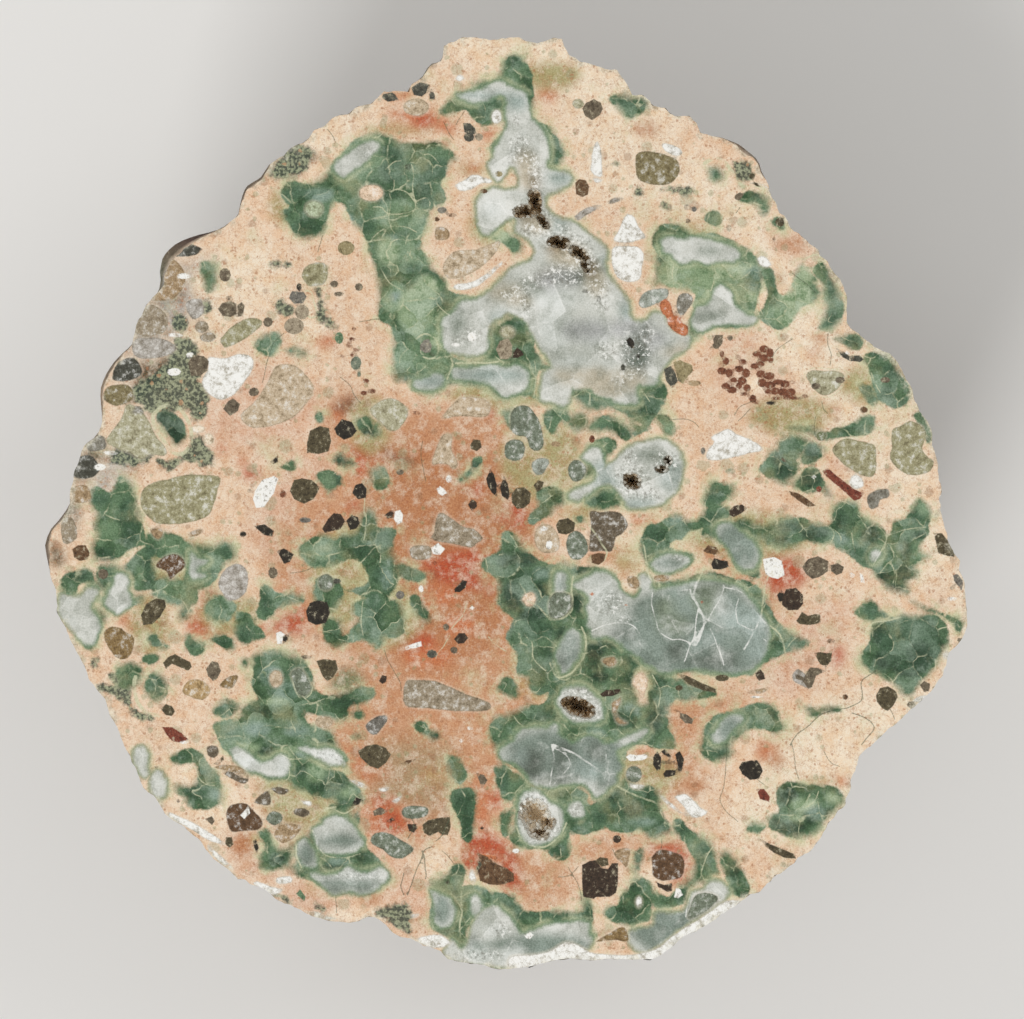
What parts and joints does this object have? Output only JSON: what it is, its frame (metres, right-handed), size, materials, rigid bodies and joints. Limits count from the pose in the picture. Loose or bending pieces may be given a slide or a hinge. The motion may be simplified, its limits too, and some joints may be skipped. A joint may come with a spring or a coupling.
{
  "type": "polished thunderegg half",
  "caption": "Half of a thunderegg, sawn and polished on one face, with a rough domed back, a green and peach brecciated heart and small quartz-lined hollows.",
  "frame": {"origin": "middle of the small natural flat on the domed back that the stone rests on", "axes": "+Z out of the polished cut face, +Y towards the narrow top end of the face, +X to the right seen from above"},
  "size_m": [0.0919, 0.0931, 0.04],
  "materials": {
    "stone": "polished on the cut, rough and matt on the back",
    "quartz": "sparkling small crystals"
  },
  "bodies": {
    "root": {"nodule": "stone", "north_cleft_crystals": "quartz", "east_eye_crystals": "quartz", "east_pit_crystals": "quartz", "south_eye_crystals": "quartz", "bowl_crystals": "quartz"}
  },
  "joints": []
}
